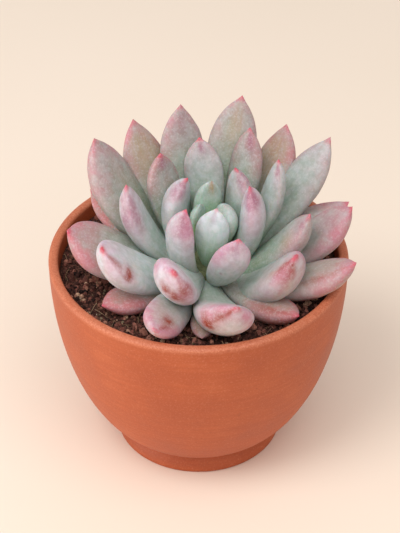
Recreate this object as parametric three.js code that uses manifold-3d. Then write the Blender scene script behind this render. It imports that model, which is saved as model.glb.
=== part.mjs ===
// A rosette succulent growing in a footed terracotta bowl.
// Millimetres, +Z up. The origin is on the pot's axis, in the plane that its foot ring stands on.
// The rosette is one leaf shape, repeated: each leaf is a turned spindle, flattened, bent along its
// length and set on a short stem at its own bearing. Where leaves press together, the one further
// out is hollowed to fit round the one further in.
import * as THREE from "three";
import { mergeVertices } from "three/addons/utils/BufferGeometryUtils.js";
import Module from "manifold-3d";

const wasm = await Module();
wasm.setup();

// ---- driving dimensions ----
const POT = {
  height: 88,
  rimRadius: 60,
  wall: 3.9,
  lipRound: 1.2,
  footHeight: 8,
  footNeckRadius: 31.5,
  footBaseRadius: 34.5,
  footRingWidth: 6,
  footRecess: 4.5,
  footRound: 0.8,
  drainRadius: 8,
  bellyFullness: 2.07, // powers of the rounded outline between the foot and the rim
  bellyShoulder: 1.59,
  sides: 48,
};
const SOIL = {
  level: 81, // at the pot's wall
  dish: 2.4, // how much lower it lies under the plant
  ringRadii: [50.5, 44, 36.5, 28, 19],
  // Lumps: height, and turns per mm along X and Y.
  lumps: [
    { height: 0.42, alongX: 0.068, alongY: 0.011 },
    { height: 0.36, alongX: -0.019, alongY: 0.059 },
    { height: 0.28, alongX: 0.033, alongY: -0.053 },
    { height: 0.22, alongX: 0.113, alongY: 0.092 },
  ],
};
const ROSETTE_AXIS = { x: 3.5, y: -5 }; // the plant stands a little off the pot's axis
const STEM = [
  // radius at each height, from the buried root end to the growing point
  [1.6, 60],
  [4.2, 63],
  [7.4, 68],
  [8.8, 75],
  [9.0, 82],
  [8.2, 86],
  [6.4, 89.5],
  [4.4, 92],
  [3.0, 94],
  [1.2, 96],
];
const STEM_SIDES = 20;
const GAP = 0.3; // clearance between pieces that touch on the real plant

// The leaf: shares of its length and width.
const LEAF = {
  rootWidth: 0.4, // of the widest part
  rootFlare: 1.3,
  widestAt: 0.66,
  tipRoundness: 2.3,
  thickness: 0.6, // of the width
  rootThickness: 0.6, // of the thickest part
  thickestAt: 0.6,
  tipThicknessRoundness: 2.6,
  upperSide: 0.8, // the upper face is flatter than the keel below
  lowerSide: 1.2,
  stations: [0, 0.2, 0.4, 0.55, 0.68, 0.79, 0.88, 0.95, 1],
  sides: 10,
  smallSides: 8,
};

// Each whorl, from the growing point outwards: how far from the axis and how high its leaves sprout.
// Each leaf: bearing from +X, slope at the root, curl up towards the tip and roll, in degrees;
// length and width in mm; lift, where its root sits off the whorl's height.
const WHORLS = [
  {
    name: "heart",
    rootRadius: 2.5,
    rootHeight: 94,
    small: true,
    leaves: [
      { bearing: 274, rise: 58, curl: 45, length: 31, width: 13.5, roll: -15, lift: -4 },
      { bearing: 98, rise: 61, curl: 40, length: 29, width: 11.5, roll: 15 },
      { bearing: 15, rise: 57, curl: 45, length: 22, width: 13.5, roll: 10 },
      { bearing: 150, rise: 71, curl: 35, length: 20, width: 9, roll: 0, lift: 1.5 },
    ],
  },
  {
    name: "inner",
    rootRadius: 5,
    rootHeight: 84,
    leaves: [
      { bearing: 227, rise: 46, curl: 60, length: 44, width: 14.5, roll: -9, lift: -1 },
      { bearing: 1, rise: 50, curl: 51, length: 45, width: 18.5, roll: 0, lift: -1.5 },
      { bearing: 38, rise: 45, curl: 61, length: 42, width: 15, roll: -5, lift: 3 },
      { bearing: 154, rise: 47, curl: 71, length: 41, width: 17.5, roll: 10, lift: 1 },
    ],
  },
  {
    name: "middle",
    rootRadius: 7,
    rootHeight: 86,
    leaves: [
      { bearing: 288, rise: 37, curl: 45, length: 39, width: 15.5, roll: -15, lift: -1 },
      { bearing: 20, rise: 35, curl: 52, length: 50, width: 14.5, roll: -8 },
      { bearing: 57, rise: 39, curl: 38, length: 54, width: 15.5, roll: -9, lift: 0.5 },
      { bearing: 90, rise: 42, curl: 43, length: 47, width: 16.5, roll: -11, lift: 2 },
      { bearing: 138, rise: 44, curl: 47, length: 47, width: 16.5, roll: -1, lift: 0.5 },
      { bearing: 177, rise: 34, curl: 50, length: 49, width: 17, roll: -1, lift: -2.5 },
    ],
  },
  {
    name: "outer",
    rootRadius: 8,
    rootStop: 3.2,
    rootHeight: 84,
    leaves: [
      { bearing: 243, rise: 25, curl: 37, length: 47, width: 21.5, roll: -32, lift: 1 },
      { bearing: 349, rise: 27, curl: 41, length: 49, width: 17.5, roll: 4, lift: -1.5 },
      { bearing: 325, rise: 15, curl: 55, length: 49, width: 22.5, roll: 8, lift: -4 },
      { bearing: 208, rise: 17, curl: 46, length: 54, width: 22, roll: -17, lift: -1 },
      { bearing: 275, rise: -1, curl: 61, length: 55, width: 22, roll: -14, lift: -1.5 },
      { bearing: 4, rise: 6, curl: 55, length: 60, width: 20, roll: 10 },
      { bearing: 32, rise: 24, curl: 34, length: 66, width: 19, roll: 2, lift: 0.5 },
      { bearing: 78, rise: 36, curl: 36, length: 66, width: 20, roll: 13, lift: 1.5 },
      { bearing: 109, rise: 36, curl: 40, length: 62, width: 19.5, roll: 9, lift: 1.5 },
      { bearing: 154, rise: 28, curl: 45, length: 67, width: 23.5, roll: 0, lift: -2 },
      { bearing: 50, rise: 22, curl: 40, length: 62, width: 19.5, roll: -8, lift: 0.5 },
      { bearing: 128, rise: 26, curl: 40, length: 62, width: 20, roll: 4, lift: 1 },
    ],
  },
  {
    name: "low",
    rootRadius: 8,
    rootStop: 3.2,
    rootHeight: 84,
    leaves: [
      { bearing: 242, rise: -1, curl: 34, length: 51, width: 17, roll: -30, lift: 0.5 },
      { bearing: 184, rise: 11, curl: 44, length: 57, width: 23, roll: -21, lift: -1 },
      { bearing: 338, rise: 5, curl: 39, length: 60, width: 20, roll: 1, lift: -3 },
      { bearing: 313, rise: -7, curl: 25, length: 42, width: 17.5, roll: -12, lift: 0.5 },
      { bearing: 213, rise: -3, curl: 13, length: 41, width: 17, roll: 2 },
      { bearing: 145, rise: 7, curl: 20, length: 53, width: 17.5, roll: 0 },
      { bearing: 21, rise: 9, curl: 19, length: 56, width: 18.5, roll: 3 },
      { bearing: 47, rise: 5, curl: 20, length: 53, width: 18, roll: 0 },
      { bearing: 72, rise: 5, curl: 20, length: 52, width: 18, roll: 0 },
      { bearing: 97, rise: 5, curl: 20, length: 53, width: 18, roll: 0 },
      { bearing: 121, rise: 5, curl: 20, length: 52, width: 18, roll: 0 },
      { bearing: 267, rise: 2, curl: 10, length: 36, width: 10, roll: 0, lift: -4, small: true },
    ],
  },
];

// ---- materials ----
const MATERIALS = {
  terracotta: { color: 0xc8744c, roughness: 0.82, metalness: 0 },
  soil: { color: 0x35231b, roughness: 1, metalness: 0 },
  stem: { color: 0x9aa583, roughness: 0.8, metalness: 0 },
  heart: { color: 0xb9d0ae, roughness: 0.6, metalness: 0 },
  leaf: { color: 0xb8c4b6, roughness: 0.6, metalness: 0 },
};

// ---- joining and cutting ----

// A closed three.js geometry as a solid that can be joined and cut.
function solidOf(geometry) {
  const bare = geometry.clone();
  bare.deleteAttribute("normal");
  bare.deleteAttribute("uv");
  const merged = mergeVertices(bare, 1e-4);
  return new wasm.Manifold(
    new wasm.Mesh({
      numProp: 3,
      vertProperties: new Float32Array(merged.attributes.position.array),
      triVerts: new Uint32Array(merged.index.array),
    }),
  );
}

// The solid's largest body: a cut can leave a loose scrap.
function largestBody(solid) {
  return solid.decompose().reduce((a, b) => (b.volume() > a.volume() ? b : a));
}

function cutFrom(solid, cutters) {
  let left = solid;
  for (const cutter of cutters) {
    if (left.intersect(cutter).volume() > 0) left = largestBody(left.subtract(cutter));
  }
  return left;
}

function meshOf(name, solid, material) {
  const made = solid.getMesh();
  const stride = made.numProp;
  const positions = new Float32Array(made.numVert * 3);
  for (let i = 0; i < made.numVert; i++) {
    positions.set(made.vertProperties.subarray(i * stride, i * stride + 3), i * 3);
  }
  const geometry = new THREE.BufferGeometry();
  geometry.setAttribute("position", new THREE.BufferAttribute(positions, 3));
  geometry.setIndex(new THREE.BufferAttribute(new Uint32Array(made.triVerts), 1));
  geometry.computeVertexNormals();
  const mesh = new THREE.Mesh(geometry, new THREE.MeshStandardMaterial(MATERIALS[material]));
  mesh.name = name;
  return mesh;
}

// A profile of [radius, height] points turned about +Z.
function turned(profile, sides) {
  const points = profile.map(([r, z]) => new THREE.Vector2(r, z));
  return new THREE.LatheGeometry(points, sides).rotateX(Math.PI / 2);
}

// ---- the pot ----

// Outside of the bowl at a share of its height above the foot, moved inwards along its normal.
function bowlPoint(share, inset) {
  const { height, rimRadius, footHeight, footNeckRadius, bellyFullness, bellyShoulder } = POT;
  const radiusAt = (u) =>
    footNeckRadius +
    (rimRadius - footNeckRadius) * (1 - (1 - u) ** bellyFullness) ** (1 / bellyShoulder);
  const heightAt = (u) => footHeight + (height - footHeight) * u;
  const step = 1e-3;
  const [before, after] = [Math.max(share - step, 0), Math.min(share + step, 1)];
  const slope = new THREE.Vector2(
    radiusAt(after) - radiusAt(before),
    heightAt(after) - heightAt(before),
  ).normalize();
  return [radiusAt(share) - slope.y * inset, heightAt(share) + slope.x * inset];
}

// Heights are closer together low down, where the bowl turns fastest.
const OUTER_SHARES = [0, 0.006, 0.025, 0.06, 0.11, 0.18, 0.28, 0.4, 0.54, 0.7, 0.86];
const INNER_SHARES = [0, 0.025, 0.08, 0.17, 0.3, 0.48, 0.7];

function potSolid() {
  const { height, rimRadius, wall, lipRound, footHeight, footNeckRadius } = POT;
  const { footBaseRadius, footRingWidth, footRecess, footRound, drainRadius } = POT;
  const ringInner = footBaseRadius - footRingWidth;
  const underside = [
    [drainRadius, footRecess],
    [ringInner - 2, footRecess],
    [ringInner, 0],
    [footBaseRadius - footRound, 0],
    [footBaseRadius, footRound],
    [footBaseRadius - 1.2, footHeight * 0.45],
  ];
  const outside = OUTER_SHARES.map((share) => bowlPoint(share, 0));
  const lip = [
    [rimRadius, height - lipRound],
    [rimRadius - lipRound, height],
    [rimRadius - wall + lipRound, height],
    [rimRadius - wall, height - lipRound],
  ];
  const inside = INNER_SHARES.map((share) => bowlPoint(share, wall)).reverse();
  const floor = [[drainRadius, inside[inside.length - 1][1]]];
  const profile = [...underside, ...outside, ...lip, ...inside, ...floor, underside[0]];
  return solidOf(turned(profile, POT.sides));
}

// ---- the soil ----

function soilRelief(x, y) {
  return SOIL.lumps.reduce(
    (sum, lump) =>
      sum + lump.height * Math.sin(2 * Math.PI * (x * lump.alongX + y * lump.alongY) + lump.height),
    0,
  );
}

function soilSolid() {
  const inset = POT.wall + GAP;
  const side = INNER_SHARES.map((share) => bowlPoint(share, inset));
  const wallShare = (SOIL.level - POT.footHeight) / (POT.height - POT.footHeight);
  const wallRadius = bowlPoint(wallShare, inset)[0];
  const top = SOIL.ringRadii.map((r) => [
    r,
    SOIL.level - SOIL.dish * (1 - (r / wallRadius) ** 2),
  ]);
  const middle = SOIL.level - SOIL.dish;
  const profile = [[0, side[0][1]], ...side, [wallRadius, SOIL.level], ...top, [0, middle]];
  const geometry = turned(profile, POT.sides);
  const place = geometry.attributes.position;
  for (let i = 0; i < place.count; i++) {
    const [x, y, z] = [place.getX(i), place.getY(i), place.getZ(i)];
    const radius = Math.hypot(x, y);
    const onTop = z >= middle && radius <= SOIL.ringRadii[0];
    if (onTop) place.setZ(i, z + soilRelief(x, y));
  }
  return solidOf(geometry);
}

// ---- the stem ----

function stemSolid(clearance) {
  const [rootEnd, growingPoint] = [STEM[0], STEM[STEM.length - 1]];
  const profile = [
    [0, rootEnd[1] - clearance],
    ...STEM.map(([r, z]) => [r + clearance, z]),
    [0, growingPoint[1] + clearance],
  ];
  const geometry = turned(profile, STEM_SIDES);
  return solidOf(geometry.translate(ROSETTE_AXIS.x, ROSETTE_AXIS.y, 0));
}

// ---- the leaves ----

// Half the width and half the thickness along the leaf, as shares of their largest.
function widthShare(s) {
  const { rootWidth, rootFlare, widestAt, tipRoundness } = LEAF;
  if (s < widestAt) {
    return rootWidth + (1 - rootWidth) * Math.sin(((Math.PI / 2) * s) / widestAt) ** rootFlare;
  }
  return 1 - ((s - widestAt) / (1 - widestAt)) ** tipRoundness;
}

function thicknessShare(s) {
  const { rootThickness, thickestAt, tipThicknessRoundness } = LEAF;
  if (s < thickestAt) {
    return rootThickness + (1 - rootThickness) * Math.sin(((Math.PI / 2) * s) / thickestAt);
  }
  return 1 - ((s - thickestAt) / (1 - thickestAt)) ** tipThicknessRoundness;
}

// A leaf grown by `clearance` all round is the room that its neighbours leave for it.
function leafSolid(whorl, leaf, clearance) {
  const { bearing, rise, curl, roll } = leaf;
  const halfWidth = leaf.width / 2;
  const halfThickness = (leaf.width * LEAF.thickness) / 2;
  const length = leaf.length + clearance;
  const sides = leaf.small || whorl.small ? LEAF.smallSides : LEAF.sides;
  const profile = [[0, 0], ...LEAF.stations.map((s) => [widthShare(s), s * length])];
  profile[profile.length - 1][0] = 0;
  // Turned about +Z, then laid along +X with its upper face to +Z.
  const geometry = turned(profile, sides).rotateY(Math.PI / 2);
  const place = geometry.attributes.position;
  const bendRadius = leaf.length / THREE.MathUtils.degToRad(curl);
  for (let i = 0; i < place.count; i++) {
    const along = place.getX(i);
    const s = THREE.MathUtils.clamp(along / length, 0, 1);
    const share = Math.max(widthShare(s), 1e-6);
    const grown = s < 1 ? clearance : 0;
    const face = place.getZ(i) > 0 ? LEAF.upperSide : LEAF.lowerSide;
    const across = (place.getY(i) / share) * (widthShare(s) * halfWidth + grown);
    const depth = (place.getZ(i) / share) * (thicknessShare(s) * halfThickness * face + grown);
    const turn = along / bendRadius;
    place.setXYZ(
      i,
      (bendRadius - depth) * Math.sin(turn),
      across,
      bendRadius - (bendRadius - depth) * Math.cos(turn),
    );
  }
  const radians = THREE.MathUtils.degToRad;
  geometry.rotateX(radians(roll)).rotateY(-radians(rise)).rotateZ(radians(bearing));
  geometry.translate(
    ROSETTE_AXIS.x + whorl.rootRadius * Math.cos(radians(bearing)),
    ROSETTE_AXIS.y + whorl.rootRadius * Math.sin(radians(bearing)),
    whorl.rootHeight + (leaf.lift ?? 0),
  );
  return solidOf(geometry);
}

// The outer and low leaves' root ends stop short of the pot's axis, inside the rosette, so that
// the straight way up from the drain hole is clear of them.
function rootStopped(solid, whorl, leaf) {
  if (!whorl.rootStop) return solid;
  const turn = THREE.MathUtils.degToRad(leaf.bearing);
  return solid.trimByPlane([Math.cos(turn), Math.sin(turn), 0], whorl.rootStop);
}

// ---- assembly ----

const succulent = new THREE.Group();
const plant = new THREE.Group();
const stemRoom = stemSolid(GAP);
const leafRooms = [];

plant.add(meshOf("stem", stemSolid(0), "stem"));
for (const whorl of WHORLS) {
  whorl.leaves.forEach((leaf, index) => {
    const name = `leaf_${whorl.name}_${String(index + 1).padStart(2, "0")}`;
    const whole = rootStopped(leafSolid(whorl, leaf, 0), whorl, leaf);
    const solid = cutFrom(whole, [stemRoom, ...leafRooms]);
    plant.add(meshOf(name, solid, whorl.small ? "heart" : "leaf"));
    leafRooms.push(leafSolid(whorl, leaf, GAP));
  });
}

succulent.add(meshOf("pot", potSolid(), "terracotta"));
succulent.add(meshOf("soil", cutFrom(soilSolid(), [stemRoom, ...leafRooms]), "soil"));
succulent.add(plant);

export default succulent;
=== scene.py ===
import math
import random

import bpy
from mathutils import Euler, Matrix, Vector


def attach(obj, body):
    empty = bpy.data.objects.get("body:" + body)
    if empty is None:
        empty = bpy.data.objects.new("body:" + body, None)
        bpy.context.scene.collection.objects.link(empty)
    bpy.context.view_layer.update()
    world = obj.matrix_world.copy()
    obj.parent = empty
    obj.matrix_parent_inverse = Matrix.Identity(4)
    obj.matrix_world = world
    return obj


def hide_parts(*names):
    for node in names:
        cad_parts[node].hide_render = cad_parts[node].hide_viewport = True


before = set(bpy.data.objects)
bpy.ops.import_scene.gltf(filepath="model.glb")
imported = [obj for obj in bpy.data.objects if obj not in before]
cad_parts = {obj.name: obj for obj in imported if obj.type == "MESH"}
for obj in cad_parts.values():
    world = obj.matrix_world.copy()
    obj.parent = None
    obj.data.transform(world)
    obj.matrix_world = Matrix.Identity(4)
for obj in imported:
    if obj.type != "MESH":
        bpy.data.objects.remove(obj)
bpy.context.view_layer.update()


# ---------------------------------------------------------------- sizes

def mm(value):
    return value / 1000


# The bowl. Its rim is set to 120 mm across, and what shows of the rest was fitted to its outline.
# The wall under the lip, the foot ring's width, the recess, the drain hole and the floor inside
# are guesses.
POT = dict(
    height=88, rim_radius=60, wall=3.9, foot_height=8, foot_neck_radius=31.5,
    foot_base_radius=34.5, foot_ring_width=6, foot_recess=4.5, drain_radius=8,
    fullness=2.07, shoulder=1.59, flat_floor_radius=24,
)
# How the bowl is turned: its sides, and its rings, which crowd towards the foot and stop short
# of the lip, at a share of the height.
TURNING = dict(
    sides=128, outer_rings=44, outer_crowding=1.7, outer_top=0.978,
    inner_rings=24, inner_crowding=1.5, inner_top=0.96,
)
# The lip is painted paler from the first height up, and most from the second: partly wear, partly a
# painted highlight.
LIP_WEAR_AND_HIGHLIGHT = (85.2, 87.6)

SOIL = dict(level=81, dish=2.4, gap=0.3, sides=160, rings=64, centre_radius=1.0, loose_radius=54.5)
# Shares of the bowl's height at which the bed follows the bowl's inside.
SOIL_SIDE = (0, 0.006, 0.025, 0.08, 0.17, 0.3, 0.48, 0.7, 0.82)
# Lumps in the top: how wide, how tall, and above what height they reach.
SOIL_LUMPS = ((9, 2.2, 78), (2.4, 1.6, 77))
# Loose bits fall anywhere between two radii, or in a drift by the wall at the front left.
SOIL_RING = (14, 54.2)
FRONT_DRIFT = dict(bearing=236, spread=16, edge=54, width=6)
DROP_HEIGHT = 100

# Where the plant stands from the pot's axis.
ROSETTE_AXIS = (3.5, -5.0)

# The leaf, in shares of its length and width.
LEAF = dict(
    root_width=0.4, root_flare=1.3, widest_at=0.66, tip_roundness=2.3,
    thickness=0.6, root_thickness=0.6, thickest_at=0.6, tip_thickness_roundness=2.6,
    upper_side=0.8, lower_side=1.2,
)
# The small spike at the point: where the leaf is drawn in behind it, over what length and how
# much, and where the spike ends.
SPIKE = dict(behind=0.968, reach=0.017, depth=0.12, end=1.004)
# The upper face is pressed a little flat down its middle.
PRESSED = dict(half_width=0.45, start=0.2, end=0.86, height_left=0.90)
# Soft unevenness of every leaf, in millimetres.
UNEVEN = dict(size=11, depth=0.7)
# The leaf's rings, as shares of its length, closer towards the point, and how many sides it has.
LEAF_RINGS = (
    0.0, 0.06, 0.12, 0.19, 0.26, 0.33, 0.40, 0.47, 0.54, 0.60, 0.66, 0.715, 0.765, 0.81,
    0.85, 0.885, 0.915, 0.94, 0.958, 0.972, 0.983, 0.991, 0.997,
)
LEAF_SIDES = 20
# Anything nearer than this to a plane of the unit leaf lies in it.
TOUCHING = 1e-5

# Each whorl from the growing point outwards: how far from the axis and how high its leaves
# sprout. Each leaf: bearing, rise, curl, length, width, roll, lift, then its own colouring:
# green at the root, blush on the upper part, pink at the point, tan of age. Most bearings to
# lifts were fitted to points on the leaves' outlines by a program, and rounded. The colouring
# is listed.
WHORLS = {
    "heart": (2.5, 94, (
        (274, 58, 45, 31, 13.5, -15, -4, 0.70, 0.12, 0.60, 0.00),
        (98, 61, 40, 29, 11.5, 15, 0, 1.00, 0.00, 0.10, 0.00),
        (15, 57, 45, 22, 13.5, 10, 0, 0.90, 0.02, 0.15, 0.05),
        (150, 71, 35, 20, 9, 0, 1.5, 1.20, 0.00, 0.05, 0.00),
    )),
    "inner": (5, 84, (
        (227, 46, 60, 44, 14.5, -9, -1, 0.50, 0.62, 1.00, 0.00),
        (1, 50, 51, 45, 18.5, 0, -1.5, 0.60, 0.48, 1.00, 0.00),
        (38, 45, 61, 42, 15, -5, 3, 0.65, 0.35, 1.00, 0.00),
        (154, 47, 71, 41, 17.5, 10, 1, 0.50, 0.35, 1.00, 0.00),
    )),
    "middle": (7, 86, (
        (288, 37, 45, 39, 15.5, -15, -1, 0.50, 0.60, 0.90, 0.00),
        (20, 35, 52, 50, 14.5, -8, 0, 0.65, 0.20, 0.90, 0.00),
        (57, 39, 38, 54, 15.5, -9, 0.5, 0.55, 0.45, 0.75, 0.00),
        (90, 42, 43, 47, 16.5, -11, 2, 0.60, 0.30, 1.00, 0.00),
        (138, 44, 47, 47, 16.5, -1, 0.5, 0.55, 0.40, 1.00, 0.00),
        (177, 34, 50, 49, 17, -1, -2.5, 0.50, 0.45, 0.80, 0.00),
    )),
    "outer": (8, 84, (
        (243, 25, 37, 47, 21.5, -32, 1, 0.45, 0.55, 1.00, 0.10),
        (349, 27, 41, 49, 17.5, 4, -1.5, 0.60, 0.40, 0.80, 0.00),
        (325, 15, 55, 49, 22.5, 8, -4, 0.45, 0.60, 1.00, 0.15),
        (208, 17, 46, 54, 22, -17, -1, 0.35, 0.40, 1.00, 0.12),
        (275, -1, 61, 55, 22, -14, -1.5, 0.50, 0.60, 0.80, 0.15),
        (4, 6, 55, 60, 20, 10, 0, 0.40, 0.70, 0.80, 0.05),
        (32, 24, 34, 66, 19, 2, 0.5, 0.45, 0.35, 0.60, 0.00),
        (78, 36, 36, 66, 20, 13, 1.5, 0.60, 0.42, 0.80, 0.12),
        (109, 36, 40, 62, 19.5, 9, 1.5, 0.65, 0.46, 0.60, 0.05),
        (154, 28, 45, 67, 23.5, 0, -2, 0.60, 0.50, 0.55, 0.05),
        (50, 22, 40, 62, 19.5, -8, 0.5, 0.35, 0.60, 0.60, 0.60),
        (128, 26, 40, 62, 20, 4, 1, 0.35, 0.60, 0.60, 0.60),
    )),
    "low": (8, 84, (
        (242, -1, 34, 51, 17, -30, 0.5, 0.30, 0.75, 0.50, 0.30),
        (184, 11, 44, 57, 23, -21, -1, 0.35, 0.65, 1.00, 0.15),
        (338, 5, 39, 60, 20, 1, -3, 0.35, 0.70, 0.80, 0.35),
        (313, -7, 25, 42, 17.5, -12, 0.5, 0.05, 1.00, 0.90, 0.20),
        (213, -3, 13, 41, 17, 2, 0, 0.15, 0.95, 0.90, 0.15),
        (145, 7, 20, 53, 17.5, 0, 0, 0.20, 0.90, 0.60, 0.40),
        (21, 9, 19, 56, 18.5, 3, 0, 0.25, 0.85, 0.80, 0.20),
        (47, 5, 20, 53, 18, 0, 0, 0.30, 0.70, 0.80, 0.40),
        (72, 5, 20, 52, 18, 0, 0, 0.30, 0.60, 0.80, 0.35),
        (97, 5, 20, 53, 18, 0, 0, 0.35, 0.65, 0.80, 0.30),
        (121, 5, 20, 52, 18, 0, 0, 0.25, 0.75, 0.80, 0.40),
        (267, 2, 10, 36, 10, 0, -4, 0.10, 0.80, 0.30, 0.40),
    )),
}
# How thick the pale powder lies, by whorl, and on single leaves that differ.
PALE = {"heart": 1.0, "inner": 0.85, "middle": 0.50, "outer": 0.25, "low": 0.05}
PALE_LEAVES = {
    "leaf_heart_02": 0.35, "leaf_heart_03": 0.5, "leaf_heart_04": 0.3,
    "leaf_inner_03": 0.5,
    "leaf_middle_01": 0.9, "leaf_middle_03": 0.15, "leaf_middle_05": 0.1, "leaf_middle_06": 0.85,
    "leaf_outer_01": 1.0, "leaf_outer_02": 0.3, "leaf_outer_03": 0.7, "leaf_outer_04": 1.0,
    "leaf_outer_05": 0.7, "leaf_outer_06": 0.35, "leaf_outer_07": 0.4,
    "leaf_low_01": 0.7, "leaf_low_02": 0.25, "leaf_low_03": 0.4, "leaf_low_07": 0.5,
}

# Where each colour fades in or out along a leaf, and the margin across it, in shares.
FADES = dict(
    green=(0.25, 0.95), blush=(0.50, 0.97), margin_blush=(0.28, 0.75), point=(0.945, 0.992),
    tan=(0.30, 0.75), tan_end=(0.86, 0.97), margin=(0.40, 1.0),
)
BLUSH = dict(upper=0.80, margin=0.55, all_over=0.24)
TAN_LOSS = dict(margin=0.7, end=0.8)

# Marks: along the leaf, across it, which face (1 upper, -1 lower, 0 both), how far they reach
# along and across, and how strong they are. Scars are brown-red, flushes are plum or rose under
# the powder, stains are tan. Where they lie was measured on the photograph, and the rest is given.
SCARS = {
    "leaf_outer_04": ((0.90, -0.80, 1, 0.12, 0.20, 0.55), (0.765, -0.80, 1, 0.05, 0.26, 1.0)),
    "leaf_outer_01": ((0.83, -0.16, -1, 0.06, 0.34, 0.80), (0.80, -0.60, -1, 0.07, 0.30, 0.85),
                      (0.86, -0.94, 0, 0.08, 0.20, 0.65)),
    "leaf_outer_05": ((0.76, 0.72, -1, 0.06, 0.26, 1.0), (0.84, 0.72, -1, 0.06, 0.16, 0.60),
                      (0.89, 0.72, -1, 0.05, 0.22, 0.80), (0.95, 0.68, -1, 0.04, 0.26, 0.80)),
    "leaf_low_01": ((0.80, -0.24, 0, 0.06, 0.30, 1.0), (0.90, -0.46, 0, 0.09, 0.24, 0.60)),
    "leaf_low_02": ((0.84, -0.72, -1, 0.04, 0.20, 0.45), (0.66, -0.60, -1, 0.03, 0.14, 0.30)),
    "leaf_low_03": ((0.70, 0.70, 0, 0.20, 0.14, 0.40),),
    "leaf_low_04": ((0.80, 0.75, 0, 0.24, 0.18, 0.50),),
    "leaf_outer_03": ((0.92, 0.76, 0, 0.08, 0.34, 0.60), (0.95, 0.82, 0, 0.015, 0.07, 0.9)),
}
FLUSHES = {
    "leaf_middle_06": ((0.80, -0.75, 0, 0.16, 0.40, 0.60),),
    "leaf_middle_05": ((0.93, -0.15, 1, 0.055, 0.50, 0.85),),
    "leaf_middle_04": ((0.92, 0.10, 1, 0.055, 0.35, 0.80),),
    "leaf_middle_03": ((0.92, 0.45, 1, 0.10, 0.35, 0.75),),
    "leaf_middle_02": ((0.93, 0.75, 1, 0.10, 0.40, 0.70),),
    "leaf_middle_01": ((0.94, 0.30, 0, 0.08, 0.60, 0.60), (0.60, 0.40, -1, 0.02, 0.06, 0.80)),
    "leaf_inner_04": ((0.92, -0.85, 0, 0.09, 0.45, 0.70),),
    "leaf_inner_03": ((0.92, 0.70, 0, 0.09, 0.40, 0.60),),
    "leaf_inner_02": ((0.92, 0.85, 0, 0.08, 0.60, 0.80),),
    "leaf_inner_01": ((0.90, -0.50, 0, 0.12, 0.50, 0.80), (0.82, -0.50, 0, 0.03, 0.50, 0.50)),
    "leaf_heart_01": ((0.92, 0.10, -1, 0.08, 0.30, 0.45),),
    "leaf_outer_02": ((0.92, 0.70, 1, 0.08, 0.45, 0.60),),
    "leaf_outer_09": ((0.90, 0.00, 1, 0.14, 0.60, 0.35),),
}
STAINS = {
    "leaf_outer_04": ((0.66, -0.40, 1, 0.10, 0.40, 0.35),),
    "leaf_outer_08": ((0.80, -0.05, 1, 0.14, 0.45, 0.60),),
    "leaf_outer_02": ((0.72, 0.60, 1, 0.08, 0.35, 0.45),),
    "leaf_outer_10": ((0.62, 0.05, 1, 0.28, 0.40, 0.25),),
    "leaf_heart_02": ((0.93, 0.10, 1, 0.12, 0.50, 1.00),),
    "leaf_heart_03": ((0.80, 0.10, 0, 0.25, 0.60, 0.35),),
    "leaf_outer_03": ((0.80, 0.60, 0, 0.10, 0.30, 0.40),),
}


# ---------------------------------------------------------------- small helpers

def hue(red, green, blue):
    """A colour named by its screen value, 0 to 255 a channel, as shaders take it."""
    def straight(v):
        v /= 255
        return v / 12.92 if v <= 0.04045 else ((v + 0.055) / 1.055) ** 2.4
    return straight(red), straight(green), straight(blue), 1.0


def put_down():
    """Leave edit mode and let go of everything."""
    if bpy.context.object and bpy.context.object.mode != "OBJECT":
        bpy.ops.object.mode_set(mode="OBJECT")
    bpy.ops.object.select_all(action="DESELECT")


def pick_up(piece):
    put_down()
    piece.select_set(True)
    bpy.context.view_layer.objects.active = piece
    return piece


def newest(name):
    piece = bpy.context.object
    piece.name = name
    piece.data.name = name
    return piece


def copy_of(piece, name):
    """Another of the same, with a mesh of its own."""
    twin = piece.copy()
    twin.data = piece.data.copy()
    twin.name = twin.data.name = name
    bpy.context.scene.collection.objects.link(twin)
    return twin


def settle(piece):
    """Put the piece's place, turn and size into its mesh."""
    pick_up(piece)
    bpy.ops.object.transform_apply(location=True, rotation=True, scale=True)
    return piece


def shape_with(piece, kind, **settings):
    """Add a modifier, set it up and apply it."""
    pick_up(piece)
    modifier = piece.modifiers.new(kind.title(), kind)
    for key, value in settings.items():
        setattr(modifier, key, value)
    bpy.ops.object.modifier_apply(modifier=modifier.name)


def select_where(piece, test):
    """In edit mode, select the vertices whose place passes the test."""
    bpy.ops.object.mode_set(mode="OBJECT")
    for vertex in piece.data.vertices:
        vertex.select = test(vertex.co)
    for edge in piece.data.edges:
        edge.select = all(piece.data.vertices[i].select for i in edge.vertices)
    for face in piece.data.polygons:
        face.select = all(piece.data.vertices[i].select for i in face.vertices)
    bpy.ops.object.mode_set(mode="EDIT")


def smooth(piece, degrees):
    pick_up(piece)
    bpy.ops.object.shade_smooth_by_angle(angle=math.radians(degrees))


def fade(value, start, end):
    """0 before start, 1 after end, and a soft S between."""
    t = min(max((value - start) / (end - start), 0.0), 1.0)
    return t * t * (3 - 2 * t)


# ---------------------------------------------------------------- finishes

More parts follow.
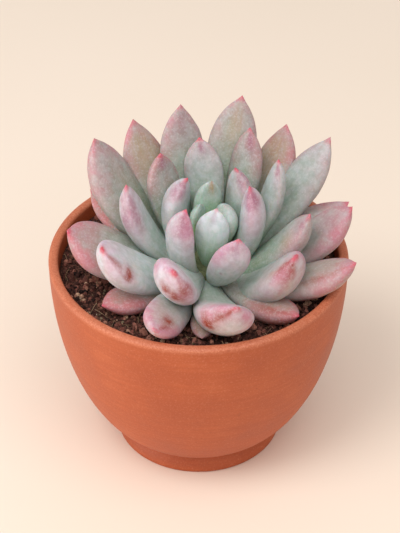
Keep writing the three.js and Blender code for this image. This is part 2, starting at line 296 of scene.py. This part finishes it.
class Finish:
    """A material being mixed: its shader, and short names for the nodes that colour it."""

    def __init__(self, name, **constants):
        self.material = bpy.data.materials.new(name)
        self.material.use_nodes = True
        self.tree = self.material.node_tree
        self.shader = self.tree.nodes["Principled BSDF"]
        for socket, value in constants.items():
            label = socket.replace("_", " ").title().replace("Ior", "IOR")
            self.shader.inputs[label].default_value = value

    def add(self, kind, **settings):
        node = self.tree.nodes.new(kind)
        for key, value in settings.items():
            setattr(node, key, value)
        return node

    def join(self, source, target):
        if isinstance(source, (int, float, tuple)):
            target.default_value = source
        else:
            self.tree.links.new(source, target)

    def place(self, stretch=(1, 1, 1)):
        """Where a point of the piece lies, in metres, with each direction stretched."""
        coordinates = self.add("ShaderNodeTexCoord")
        mapping = self.add("ShaderNodeMapping")
        mapping.inputs["Scale"].default_value = stretch
        self.join(coordinates.outputs["Object"], mapping.inputs["Vector"])
        return mapping.outputs["Vector"]

    def painted(self, layer):
        return self.add("ShaderNodeAttribute", attribute_name=layer).outputs["Fac"]

    def vector(self, x, y, z):
        node = self.add("ShaderNodeCombineXYZ")
        for source, target in zip((x, y, z), node.inputs):
            self.join(source, target)
        return node.outputs[0]

    def noise(self, where, size, detail=3.0, roughness=0.55):
        """Soft noise whose patches are about `size` mm across."""
        node = self.add("ShaderNodeTexNoise")
        self.join(where, node.inputs["Vector"])
        node.inputs["Scale"].default_value = 1 / mm(size)
        node.inputs["Detail"].default_value = detail
        node.inputs["Roughness"].default_value = roughness
        return node.outputs["Fac"]

    def cells(self, where, size):
        node = self.add("ShaderNodeTexVoronoi")
        self.join(where, node.inputs["Vector"])
        node.inputs["Scale"].default_value = 1 / mm(size)
        return node.outputs["Distance"]

    def math(self, operation, first, second=0.5, clamp=False):
        node = self.add("ShaderNodeMath", operation=operation, use_clamp=clamp)
        self.join(first, node.inputs[0])
        self.join(second, node.inputs[1])
        return node.outputs[0]

    def remap(self, value, low, high, out_low=0.0, out_high=1.0):
        node = self.add("ShaderNodeMapRange", interpolation_type="SMOOTHSTEP")
        for source, target in zip((value, low, high, out_low, out_high), node.inputs):
            self.join(source, target)
        return node.outputs[0]

    def mix(self, share, first, second):
        """Inputs 6 and 7 and output 2 are the node's colour ones."""
        node = self.add("ShaderNodeMix", data_type="RGBA")
        self.join(share, node.inputs[0])
        self.join(first, node.inputs[6])
        self.join(second, node.inputs[7])
        return node.outputs[2]

    def lay(self, body, layer, colour, cover, start, full, least, most):
        """Lay a colour over the body where its layer is painted, thinned by a noise: `least` of
        it where the noise is under `start`, `most` where it is over `full`."""
        thinned = self.remap(cover, start, full, least, most)
        return self.mix(self.math("MULTIPLY", self.painted(layer), thinned, True), body, colour)

    def ramp(self, value, *stops):
        node = self.add("ShaderNodeValToRGB")
        self.join(value, node.inputs[0])
        ramp = node.color_ramp
        while len(ramp.elements) < len(stops):
            ramp.elements.new(1.0)
        for element, (position, colour) in zip(ramp.elements, stops):
            element.position, element.color = position, colour
        return node.outputs[0]

    def relief(self, height, depth):
        """Bumps that stand `depth` mm proud."""
        node = self.add("ShaderNodeBump")
        node.inputs["Strength"].default_value = 1.0
        node.inputs["Distance"].default_value = mm(depth)
        self.join(height, node.inputs["Height"])
        self.join(node.outputs[0], self.shader.inputs["Normal"])

    def colour(self, source):
        self.join(source, self.shader.inputs["Base Color"])

    def rough(self, source):
        self.join(source, self.shader.inputs["Roughness"])


def fired_clay():
    """Matte terracotta: fine sandy grain, faint turning lines and warm cloudy patches."""
    clay = Finish("fired_clay", specular_ior_level=0.5)
    flat = clay.place()
    clouds = clay.noise(flat, 24, 3)
    grain = clay.noise(flat, 0.7, 4, 0.7)
    lines = clay.noise(clay.place((1, 1, 16)), 26, 4, 0.6)
    base = clay.ramp(
        clouds, (0.30, hue(174, 79, 38)), (0.52, hue(185, 88, 46)), (0.74, hue(195, 99, 57)))
    lined = clay.mix(clay.remap(lines, 0.35, 0.65, 0.0, 0.40), base, hue(170, 76, 38))
    sandy = clay.mix(clay.remap(grain, 0.50, 0.74, 0.0, 0.42), lined, hue(214, 138, 102))
    pits = clay.mix(clay.remap(grain, 0.28, 0.44, 0.35, 0.0), sandy, hue(160, 74, 44))
    specks = clay.noise(flat, 1.7, 2, 0.5)
    height = clay.add("ShaderNodeSeparateXYZ")
    clay.join(flat, height.inputs[0])
    # The lip is painted paler towards its top: partly wear, partly a painted highlight.
    lip_wear_and_highlight = clay.math(
        "MULTIPLY", clay.remap(height.outputs["Z"], *(mm(h) for h in LIP_WEAR_AND_HIGHLIGHT)),
        clay.remap(grain, 0.30, 0.65, 0.10, 0.38))
    rim = clay.mix(lip_wear_and_highlight, pits, hue(232, 158, 126))
    clay.colour(clay.mix(clay.remap(specks, 0.66, 0.74, 0.0, 0.30), rim, hue(150, 66, 38)))
    clay.rough(clay.remap(clouds, 0.3, 0.7, 0.50, 0.62))
    clay.relief(clay.math("ADD", clay.math("MULTIPLY", lines, 0.5), grain), 0.09)
    return clay.material


def leaf_skin(name, young):
    """Waxy leaf skin under a pale powdery bloom: sage green at the root, a rose blush towards the
    point and along the margins, a hot pink point, and plum flushes, tan stains and brown-red
    scars where painted."""
    skin = Finish(
        name, specular_ior_level=0.28, subsurface_weight=0.30, subsurface_scale=0.004,
    )
    along, across = skin.painted("along"), skin.painted("across")
    where = skin.place()
    clouds = skin.noise(where, 8, 3)
    mottle = skin.noise(where, 3.2, 4, 0.6)
    powder = skin.noise(where, 0.9, 5, 0.7)
    # Streaks run along the leaf, whose length counts as 8 mm here and its half-width as 24 mm.
    lengthways = skin.vector(
        skin.math("MULTIPLY", along, mm(8)), skin.math("MULTIPLY", across, mm(24)), 0.0)
    streaks = skin.noise(lengthways, 3.0, 3)
    patches = skin.math("ADD", clouds, skin.math("MULTIPLY", mottle, 0.5))
    fresh = hue(146, 186, 130) if young else hue(112, 148, 104)
    old_tan, plum, scar_red = hue(180, 150, 108), hue(158, 96, 116), hue(150, 58, 38)
    pale_margin, speck, hot_pink = hue(224, 206, 212), hue(140, 96, 96), hue(200, 88, 106)
    rose = skin.mix(skin.painted("pale"), hue(190, 120, 124), hue(200, 146, 168))
    aged = skin.mix(skin.remap(mottle, 0.35, 0.68), hue(148, 168, 158), hue(116, 144, 124))
    bloom = skin.mix(skin.remap(mottle, 0.35, 0.68), hue(230, 238, 243), hue(200, 222, 220))
    body = skin.mix(skin.painted("pale"), aged, bloom)
    body = skin.lay(body, "green", fresh, streaks, 0.25, 0.75, 0.75, 1.25)
    body = skin.lay(body, "blush", rose, patches, 0.55, 0.95, 0.65, 1.25)
    body = skin.lay(body, "tan", old_tan, streaks, 0.25, 0.70, 0.5, 1.0)
    body = skin.lay(body, "flush", plum, mottle, 0.30, 0.60, 0.6, 1.1)
    margin = skin.math("MULTIPLY", skin.remap(skin.math("ABSOLUTE", across), 0.92, 1.0), 0.15)
    body = skin.mix(margin, body, pale_margin)
    body = skin.lay(body, "scar", scar_red, mottle, 0.30, 0.55, 0.75, 1.2)
    specks = skin.remap(skin.cells(where, 2.6), 0.05, 0.09, 0.35, 0.0)
    body = skin.mix(skin.math("MULTIPLY", specks, skin.remap(clouds, 0.5, 0.6)), body, speck)
    body = skin.mix(skin.painted("point"), body, hot_pink)
    dusty = skin.mix(skin.remap(powder, 0.46, 0.70, 0.0, 0.30), body, hue(226, 220, 222))
    skin.colour(dusty)
    skin.rough(skin.remap(powder, 0.3, 0.7, 0.52, 0.70))
    skin.relief(skin.math("ADD", powder, streaks), 0.05)
    return skin.material


def peat():
    """Damp potting mix: near-black crumbs with brown between."""
    mix = Finish("peat", specular_ior_level=0.2)
    where = mix.place()
    crumbs = mix.cells(where, 1.8)
    fine = mix.noise(where, 0.9, 4, 0.7)
    mix.colour(mix.ramp(
        fine, (0.32, hue(24, 13, 11)), (0.50, hue(70, 43, 36)), (0.70, hue(142, 96, 80))))
    mix.rough(mix.remap(fine, 0.3, 0.7, 0.75, 0.95))
    mix.relief(mix.math("SUBTRACT", fine, crumbs), 0.6)
    return mix.material


def crumb_finish(name, *stops):
    """Loose bits whose shade differs from one to the next."""
    bits = Finish(name, specular_ior_level=0.25)
    grain = bits.noise(bits.place(), 0.5, 3, 0.6)
    shade = bits.ramp(bits.painted("shade"), *stops)
    bits.colour(bits.mix(bits.remap(grain, 0.35, 0.7, 0.0, 0.5), shade, hue(20, 13, 11)))
    bits.rough(bits.remap(grain, 0.3, 0.7, 0.7, 0.9))
    bits.relief(grain, 0.15)
    return bits.material


def stem_bark():
    """The stem's skin: grey-green with brown streaks that run round it."""
    bark = Finish("stem_bark", specular_ior_level=0.25)
    where = bark.place((1, 1, 3))
    fibres = bark.noise(where, 2.5, 4, 0.6)
    bark.colour(bark.ramp(
        fibres, (0.3, hue(104, 112, 78)), (0.55, hue(146, 150, 112)), (0.75, hue(168, 142, 108))))
    bark.rough(bark.remap(fibres, 0.3, 0.7, 0.65, 0.85))
    bark.relief(fibres, 0.4)
    return bark.material


def cream_board():
    """The floor's plain warm cream, with only a breath of unevenness."""
    floor = Finish("cream_board", specular_ior_level=0.15)
    clouds = floor.noise(floor.place(), 260, 2)
    floor.colour(floor.mix(floor.remap(clouds, 0.3, 0.7), hue(250, 233, 216), hue(248, 231, 213)))
    floor.rough(floor.remap(clouds, 0.3, 0.7, 0.85, 0.92))
    return floor.material


# ---------------------------------------------------------------- the view and the light

# Aim and distance in metres, elevation in degrees, lens in millimetres. All but the distance were
# fitted to the rim, the bowl's sides and the foot.
CAMERA = dict(aim=(0.00056, 0.0, 0.0814), distance=0.750, elevation=37.838, lens=125.95)
# Soft lights: bearing and height in degrees, distance and size in metres, power in watts.
LIGHTS = (
    ("window_high", 226, 60, 1.4, 0.60, 5.6),
    ("window_left", 198, 16, 1.2, 0.90, 6.0),
    ("white_card_front", 285, 62, 1.5, 1.40, 8.4),
)
LIGHTS_AIM = (0, 0, 0.06)
ROOM_LIGHT = 0.49
# In metres.
FLOOR_RADIUS = 4.0


def set_camera():
    tilt = math.radians(CAMERA["elevation"])
    x, y, z = CAMERA["aim"]
    place = (x, y - CAMERA["distance"] * math.cos(tilt), z + CAMERA["distance"] * math.sin(tilt))
    put_down()
    bpy.ops.object.camera_add(location=place, rotation=(math.radians(90) - tilt, 0, 0))
    camera = bpy.context.object
    camera.name = "view_from_front"
    camera.data.lens = CAMERA["lens"]
    camera.data.sensor_width = 36
    camera.data.clip_start = 0.01
    bpy.context.scene.camera = camera


def soft_light(name, place, aim, size, power):
    put_down()
    bpy.ops.object.light_add(type="AREA", location=place)
    light = bpy.context.object
    light.name = name
    light.rotation_euler = (Vector(aim) - Vector(place)).to_track_quat("-Z", "Y").to_euler()
    light.data.shape = "DISK"
    light.data.size = size
    light.data.energy = power


def set_studio():
    put_down()
    bpy.ops.mesh.primitive_circle_add(vertices=64, radius=FLOOR_RADIUS, fill_type="NGON")
    floor = newest("studio_floor")
    floor.data.materials.append(cream_board())
    for name, bearing, height, distance, size, power in LIGHTS:
        turn, tilt = math.radians(bearing), math.radians(height)
        place = (distance * math.cos(turn) * math.cos(tilt),
                 distance * math.sin(turn) * math.cos(tilt), distance * math.sin(tilt))
        soft_light(name, place, LIGHTS_AIM, size, power)
    world = bpy.data.worlds.new("pale_room")
    bpy.context.scene.world = world
    world.use_nodes = True
    sky = world.node_tree.nodes["Background"]
    sky.inputs["Color"].default_value = hue(255, 253, 251)
    sky.inputs["Strength"].default_value = ROOM_LIGHT
    bpy.context.scene.view_settings.view_transform = "Standard"


# ---------------------------------------------------------------- the pot

def turn_on_wheel(name, profile, sides, closed):
    """Turn a profile of (radius, height) points about the upright axis, ring by ring. A closed
    one ends where it began, and an open one ends on the axis."""
    put_down()
    radius, height = profile[0]
    bpy.ops.mesh.primitive_circle_add(vertices=sides, radius=mm(radius), location=(0, 0, mm(height)))
    turned = settle(newest(name))
    bpy.ops.object.mode_set(mode="EDIT")
    bpy.ops.mesh.select_all(action="SELECT")
    for next_radius, next_height in profile[1:]:
        bpy.ops.mesh.extrude_region_move(
            TRANSFORM_OT_translate={"value": (0, 0, mm(next_height - height))})
        grow = next_radius / radius
        bpy.ops.transform.resize(value=(grow, grow, 1), center_override=(0, 0, 0))
        radius, height = next_radius, next_height
    if not closed:
        bpy.ops.mesh.merge(type="CENTER")
    bpy.ops.mesh.select_all(action="SELECT")
    bpy.ops.mesh.remove_doubles(threshold=mm(0.01))
    bpy.ops.mesh.normals_make_consistent(inside=False)
    bpy.ops.object.mode_set(mode="OBJECT")
    return turned


def bowl_point(share, inset=0.0):
    """The bowl's outside at a share of its height above the foot, moved in along its normal."""
    def radius(at):
        belly = (1 - (1 - at) ** POT["fullness"]) ** (1 / POT["shoulder"])
        return POT["foot_neck_radius"] + (POT["rim_radius"] - POT["foot_neck_radius"]) * belly

    def height(at):
        return POT["foot_height"] + (POT["height"] - POT["foot_height"]) * at

    nudge = 1e-3
    before, after = max(share - nudge, 0), min(share + nudge, 1)
    slope = Vector((radius(after) - radius(before), height(after) - height(before))).normalized()
    return radius(share) - slope.y * inset, height(share) + slope.x * inset


def make_pot():
    """The bowl's profile runs from the drain hole under the foot, up the outside, over the lip,
    down the inside and back to the hole."""
    ring_inner = POT["foot_base_radius"] - POT["foot_ring_width"]
    base, rim, wall, top = POT["foot_base_radius"], POT["rim_radius"], POT["wall"], POT["height"]
    drain, recess = POT["drain_radius"], POT["foot_recess"]
    underside = [
        (drain, recess + 1.0), (drain + 0.3, recess + 0.3), (drain + 1.0, recess),
        (ring_inner - 8, recess), (ring_inner - 2.4, recess - 0.1), (ring_inner - 1.6, recess - 0.6),
        (ring_inner - 0.6, 0.6), (ring_inner, 0.08), (ring_inner + 0.8, 0.0),
        (base - 1.2, 0.0), (base - 0.45, 0.12), (base - 0.1, 0.45), (base, 0.9),
        (base - 0.25, 2.0), (base - 1.0, 3.6), (base - 1.9, 5.4), (base - 2.6, 7.0), (base - 2.95, 7.7),
    ]
    outer, inner = TURNING["outer_rings"], TURNING["inner_rings"]
    outside = [bowl_point((i / outer) ** TURNING["outer_crowding"] * TURNING["outer_top"])
               for i in range(outer + 1)]
    lip = [
        (rim + 0.02, top - 1.0), (rim - 0.22, top - 0.5), (rim - 0.75, top - 0.12), (rim - 1.4, top),
        (rim - wall + 1.3, top), (rim - wall + 0.6, top - 0.18), (rim - wall + 0.12, top - 0.7),
        (rim - wall, top - 1.5),
    ]
    inside = [bowl_point((1 - i / inner) ** TURNING["inner_crowding"] * TURNING["inner_top"], wall)
              for i in range(1, inner + 1)]
    bottom = inside[-1][1]
    floor = [(POT["flat_floor_radius"], bottom), (drain + 1.0, bottom), (drain, bottom - 1.0)]
    profile = underside + outside + lip + inside + floor + [underside[0]]
    pot = turn_on_wheel("terracotta_bowl", profile, TURNING["sides"], closed=True)
    smooth(pot, 50)
    pot.data.materials.append(fired_clay())
    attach(pot, "root")
    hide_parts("pot")
    return pot


# ---------------------------------------------------------------- the soil

def lumpy(piece, size, strength, above):
    """Push the top up and down by soft lumps, and leave what lies under `above` mm or at the
    wall."""
    clouds = bpy.data.textures.new("lumps_%g_mm" % size, "CLOUDS")
    clouds.noise_scale = mm(size)
    clouds.noise_depth = 3
    group = piece.vertex_groups.new(name="top")
    top = [v.index for v in piece.data.vertices
           if v.co.z > mm(above) and math.hypot(v.co.x, v.co.y) < mm(SOIL["loose_radius"])]
    group.add(top, 1.0, "REPLACE")
    shape_with(piece, "DISPLACE", texture=clouds, strength=mm(strength), direction="Z",
               texture_coords="LOCAL", vertex_group="top")
    piece.vertex_groups.clear()


def make_soil():
    """The bed of potting mix: it fills the bowl and is dished and lumpy on top."""
    wall = POT["wall"] + SOIL["gap"]
    share = (SOIL["level"] - POT["foot_height"]) / (POT["height"] - POT["foot_height"])
    side = [bowl_point(at, wall) for at in SOIL_SIDE]
    edge = bowl_point(share, wall)[0]
    top = []
    for i in range(SOIL["rings"]):
        radius = edge * (1 - i / SOIL["rings"])
        top.append((radius, SOIL["level"] - SOIL["dish"] * (1 - (radius / edge) ** 2)))
    start = (SOIL["centre_radius"], side[0][1])
    soil = turn_on_wheel("potting_mix_bed", [start] + side + top, SOIL["sides"], closed=False)
    # Close the small round hole that is left in the middle of the underside.
    pick_up(soil)
    bpy.ops.object.mode_set(mode="EDIT")
    hole, halfway_up = mm(SOIL["centre_radius"] + 0.05), mm(SOIL["level"] / 2)
    select_where(soil, lambda co: math.hypot(co.x, co.y) < hole and co.z < halfway_up)
    bpy.ops.mesh.edge_face_add()
    bpy.ops.object.mode_set(mode="OBJECT")
    for size, strength, above in SOIL_LUMPS:
        lumpy(soil, size, strength, above)
    smooth(soil, 60)
    soil.data.materials.append(peat())
    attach(soil, "root")
    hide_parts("soil")
    return soil


def all_round(draw):
    """A bearing and a radius anywhere on the ring of open soil, evenly by area."""
    inner, outer = SOIL_RING
    return draw.uniform(0, math.tau), math.sqrt(draw.uniform(inner ** 2, outer ** 2))


def along_front(draw):
    """A bearing and a radius in the drift of grit by the wall at the front left."""
    bearing = math.radians(draw.gauss(FRONT_DRIFT["bearing"], FRONT_DRIFT["spread"]))
    return bearing, FRONT_DRIFT["edge"] - abs(draw.gauss(0, FRONT_DRIFT["width"]))


def scatter(name, master, bed, draw, finish, count, sizes,
            shades=(0.0, 1.0), spread=all_round, sink=0.3, flat=1.0):
    """Drop copies of one bit over the soil, each turned its own way, and gather them. They sink
    in by a share of their size, and `flat` thins them in one direction."""
    drops = []
    for _ in range(count):
        bearing, radius = spread(draw)
        above = Vector((mm(radius) * math.cos(bearing), mm(radius) * math.sin(bearing),
                        mm(DROP_HEIGHT)))
        _, landing, _, _ = bed.ray_cast(above, Vector((0, 0, -1)))
        drops.append(landing)
    bits = []
    squash = (0.7, 1.3)
    for place in drops:
        size = mm(draw.uniform(*sizes))
        bit = copy_of(master, "bit")
        turn = Euler([draw.uniform(0, math.tau) for _ in range(3)]).to_matrix().to_4x4()
        stretch = Matrix.Diagonal((size * draw.uniform(*squash), size * draw.uniform(*squash),
                                   size * flat, 1))
        drop = place + Vector((0, 0, size * (0.5 - sink)))
        bit.data.transform(Matrix.Translation(drop) @ turn @ stretch)
        layer = bit.data.attributes.new("shade", "FLOAT", "POINT")
        shade = draw.uniform(*shades)
        for value in layer.data:
            value.value = shade
        bits.append(bit)
    put_down()
    for bit in bits:
        bit.select_set(True)
    bpy.context.view_layer.objects.active = bits[0]
    bpy.ops.object.join()
    heap = newest(name)
    heap.data.materials.append(finish)
    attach(heap, "root")
    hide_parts("soil")
    return heap


def model_crumb():
    """A ragged crumb about one unit across."""
    put_down()
    bpy.ops.mesh.primitive_ico_sphere_add(subdivisions=2, radius=0.5)
    crumb = newest("crumb")
    bpy.ops.object.mode_set(mode="EDIT")
    bpy.ops.mesh.select_all(action="SELECT")
    bpy.ops.transform.vertex_random(offset=0.20, seed=4)
    bpy.ops.object.mode_set(mode="OBJECT")
    return crumb


def model_chip():
    """A flat split chip of bark about one unit long."""
    put_down()
    bpy.ops.mesh.primitive_cube_add(size=1.0)
    chip = newest("chip")
    bpy.ops.object.mode_set(mode="EDIT")
    bpy.ops.mesh.select_all(action="SELECT")
    bpy.ops.transform.resize(value=(1.0, 0.55, 0.22))
    bpy.ops.mesh.subdivide(number_cuts=1, smoothness=0.4)
    bpy.ops.transform.vertex_random(offset=0.07, seed=9)
    bpy.ops.object.mode_set(mode="OBJECT")
    return chip


def model_fibre():
    """A thin curved root or coir fibre about one unit long."""
    put_down()
    bpy.ops.mesh.primitive_cylinder_add(
        vertices=5, radius=0.022, depth=1.0, rotation=(0, math.pi / 2, 0))
    fibre = settle(newest("fibre"))
    bpy.ops.object.mode_set(mode="EDIT")
    parts = 8
    for k in range(1, parts):
        bpy.ops.mesh.select_all(action="SELECT")
        bpy.ops.mesh.bisect(plane_co=(-0.5 + k / parts, 0, 0), plane_no=(1, 0, 0))
    bpy.ops.object.mode_set(mode="OBJECT")
    shape_with(fibre, "SIMPLE_DEFORM", deform_method="BEND", deform_axis="Z", angle=math.radians(95))
    return fibre


def dress_soil(soil):
    """Bark crumbs, split chips, pale grit and coir fibres, loose on the bed."""
    draw = random.Random(20)
    bark = crumb_finish(
        "bark_crumbs", (0.0, hue(26, 14, 12)), (0.32, hue(76, 43, 37)), (0.66, hue(146, 90, 77)),
        (0.90, hue(182, 126, 106)), (1.0, hue(212, 174, 144)))
    pale = crumb_finish(
        "pale_grit", (0.0, hue(112, 96, 74)), (0.7, hue(156, 140, 112)), (1.0, hue(204, 196, 176)))
    coir = crumb_finish(
        "coir_fibre", (0.0, hue(112, 84, 62)), (0.6, hue(158, 128, 98)), (1.0, hue(196, 170, 136)))
    crumb, chip, fibre = model_crumb(), model_chip(), model_fibre()
    scatter("soil_crumbs", crumb, soil, draw, bark, count=2400, sizes=(0.6, 2.2))
    scatter("soil_bark_chips", chip, soil, draw, bark, count=240, sizes=(1.8, 4.2),
            shades=(0.25, 1.0))
    scatter("soil_grit", crumb, soil, draw, pale, count=60, sizes=(0.4, 1.0), sink=0.0)
    scatter("soil_grit_front", crumb, soil, draw, pale, count=70, sizes=(0.4, 1.1),
            spread=along_front, sink=0.0)
    scatter("soil_fibres", fibre, soil, draw, coir, count=230, sizes=(3.0, 9.0),
            sink=0.4, flat=0.7)
    for master in (crumb, chip, fibre):
        bpy.data.objects.remove(master)


# ---------------------------------------------------------------- the leaves

def leaf_width(at):
    """Half the width at a share of the length, in half-widths."""
    if at < LEAF["widest_at"]:
        swell = math.sin(math.pi / 2 * at / LEAF["widest_at"]) ** LEAF["root_flare"]
        return LEAF["root_width"] + (1 - LEAF["root_width"]) * swell
    return 1 - ((at - LEAF["widest_at"]) / (1 - LEAF["widest_at"])) ** LEAF["tip_roundness"]


def leaf_thickness(at):
    """Half the thickness at a share of the length, in half-widths."""
    if at < LEAF["thickest_at"]:
        swell = math.sin(math.pi / 2 * at / LEAF["thickest_at"])
        share = LEAF["root_thickness"] + (1 - LEAF["root_thickness"]) * swell
    else:
        past = (at - LEAF["thickest_at"]) / (1 - LEAF["thickest_at"])
        share = 1 - past ** LEAF["tip_thickness_roundness"]
    return share * LEAF["thickness"]


def pinch(at):
    """The point is drawn in just behind its end, into a small spike."""
    return 1 - SPIKE["depth"] * math.exp(-((at - SPIKE["behind"]) / SPIKE["reach"]) ** 2)


def model_leaf():
    """One straight leaf, a unit long and two wide, root at the origin, lying along +X with its
    upper face to +Y, so that a bend about Z curls its point upwards."""
    put_down()
    bpy.ops.mesh.primitive_circle_add(vertices=LEAF_SIDES, radius=1.0, rotation=(0, math.pi / 2, 0))
    leaf = settle(newest("leaf"))
    bpy.ops.object.mode_set(mode="EDIT")
    bpy.ops.mesh.select_all(action="SELECT")
    width, depth = leaf_width(0), leaf_thickness(0)
    bpy.ops.transform.resize(value=(1, depth, width), center_override=(0, 0, 0))
    for last, at in zip(LEAF_RINGS, LEAF_RINGS[1:]):
        bpy.ops.mesh.extrude_region_move(TRANSFORM_OT_translate={"value": (at - last, 0, 0)})
        next_width, next_depth = leaf_width(at) * pinch(at), leaf_thickness(at) * pinch(at)
        bpy.ops.transform.resize(
            value=(1, next_depth / depth, next_width / width), center_override=(at, 0, 0))
        width, depth = next_width, next_depth
    bpy.ops.mesh.extrude_region_move(
        TRANSFORM_OT_translate={"value": (SPIKE["end"] - LEAF_RINGS[-1], 0, 0)})
    bpy.ops.mesh.merge(type="CENTER")
    select_where(leaf, lambda co: co.x < TOUCHING)
    bpy.ops.mesh.edge_face_add()
    bpy.ops.mesh.poke()
    for face, share in ((1, LEAF["upper_side"]), (-1, LEAF["lower_side"])):
        select_where(leaf, lambda co: co.y * face > TOUCHING)
        bpy.ops.transform.resize(value=(1, share, 1), center_override=(0, 0, 0))
    select_where(leaf, lambda co: (
        co.y > TOUCHING and abs(co.z) < PRESSED["half_width"]
        and PRESSED["start"] < co.x < PRESSED["end"]))
    bpy.ops.transform.resize(value=(1, PRESSED["height_left"], 1), center_override=(0, 0, 0))
    bpy.ops.mesh.select_all(action="SELECT")
    bpy.ops.mesh.normals_make_consistent(inside=False)
    bpy.ops.object.mode_set(mode="OBJECT")
    shape_with(leaf, "SUBSURF", levels=1, render_levels=1)
    note_layers(leaf)
    return leaf


def note_layers(leaf):
    """Remember how far along, how far across and on which face each point lies, before the bend.
    At the very end the width is read a little further back, where it isn't yet nothing."""
    last_full, least_width = 0.985, 0.05

    def across(co):
        width = max(leaf_width(min(co.x, last_full)), least_width)
        return max(-1, min(1, co.z / width))

    places = [v.co.copy() for v in leaf.data.vertices]
    for layer, measure in (
        ("along", lambda co: min(max(co.x, 0), 1)),
        ("across", across),
        ("face", lambda co: 1.0 if co.y > 0 else -1.0),
    ):
        values = leaf.data.attributes.new(layer, "FLOAT", "POINT").data
        for value, co in zip(values, places):
            value.value = measure(co)


def mark(marks, along, across, face):
    """How strongly the strongest of a leaf's marks shows at a point."""
    strongest = 0.0
    for middle_along, middle_across, side, reach_along, reach_across, strength in marks:
        if side * face >= 0:
            away = (((along - middle_along) / reach_along) ** 2
                    + ((across - middle_across) / reach_across) ** 2)
            strongest = max(strongest, strength * math.exp(-away))
    return strongest


def paint_leaf(leaf, name, green, blush, point, tan):
    """Paint the leaf's own colouring into its layers."""
    data = leaf.data
    pale = PALE_LEAVES.get(name, PALE[name.split("_")[1]])
    read = {k: [v.value for v in data.attributes[k].data] for k in ("along", "across", "face")}
    kinds = ("green", "blush", "point", "tan", "pale", "scar", "flush")
    for kind in kinds:
        data.attributes.new(kind, "FLOAT", "POINT")
    layers = {kind: data.attributes[kind].data for kind in kinds}
    for i in range(len(data.vertices)):
        along, across, face = read["along"][i], read["across"][i], read["face"][i]
        margin = fade(abs(across), *FADES["margin"])
        layers["green"][i].value = green * (1 - fade(along, *FADES["green"]))
        layers["blush"][i].value = min(1, blush * (
            BLUSH["upper"] * fade(along, *FADES["blush"])
            + BLUSH["margin"] * margin * fade(along, *FADES["margin_blush"]) + BLUSH["all_over"]))
        layers["point"][i].value = point * fade(along, *FADES["point"])
        aged = (tan * fade(along, *FADES["tan"]) * (1 - TAN_LOSS["margin"] * margin)
                * (1 - TAN_LOSS["end"] * fade(along, *FADES["tan_end"])))
        layers["tan"][i].value = max(aged, mark(STAINS.get(name, ()), along, across, face))
        layers["pale"][i].value = pale
        layers["scar"][i].value = mark(SCARS.get(name, ()), along, across, face)
        layers["flush"][i].value = mark(FLUSHES.get(name, ()), along, across, face)


def grow_leaf(master, name, whorl, row, uneven, skin):
    """Copy the leaf, size it, curl it, turn it and set it where it sprouts."""
    root_radius, root_height = WHORLS[whorl][:2]
    bearing, rise, curl, length, width, roll, lift, green, blush, point, tan = row
    leaf = copy_of(master, name + "_skin")
    leaf.scale = (mm(length), mm(width / 2), mm(width / 2))
    settle(leaf)
    shape_with(leaf, "SIMPLE_DEFORM", deform_method="BEND", deform_axis="Z", angle=math.radians(curl))
    turn = math.radians(bearing)
    leaf.rotation_euler = (math.radians(90 + roll), -math.radians(rise), turn)
    leaf.location = (
        mm(ROSETTE_AXIS[0] + root_radius * math.cos(turn)),
        mm(ROSETTE_AXIS[1] + root_radius * math.sin(turn)),
        mm(root_height + lift),
    )
    settle(leaf)
    shape_with(leaf, "DISPLACE", texture=uneven, strength=mm(UNEVEN["depth"]), mid_level=0.5,
               texture_coords="LOCAL")
    paint_leaf(leaf, name, green, blush, point, tan)
    pick_up(leaf)
    bpy.ops.object.shade_smooth()
    leaf.data.materials.append(skin)
    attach(leaf, "root")
    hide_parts(name)


def grow_rosette():
    """Every leaf in place of its node. The stem stays the CAD model's, with a skin of its own."""
    master = model_leaf()
    uneven = bpy.data.textures.new("leaf_unevenness", "CLOUDS")
    uneven.noise_scale = mm(UNEVEN["size"])
    uneven.noise_depth = 1
    grown, young = leaf_skin("leaf_skin", False), leaf_skin("young_leaf_skin", True)
    for whorl, (_, _, rows) in WHORLS.items():
        for number, row in enumerate(rows, 1):
            name = "leaf_%s_%02d" % (whorl, number)
            grow_leaf(master, name, whorl, row, uneven, young if whorl == "heart" else grown)
    bpy.data.objects.remove(master)
    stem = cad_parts["stem"]
    stem.data.materials.clear()
    stem.data.materials.append(stem_bark())


set_camera()
set_studio()
make_pot()
dress_soil(make_soil())
grow_rosette()
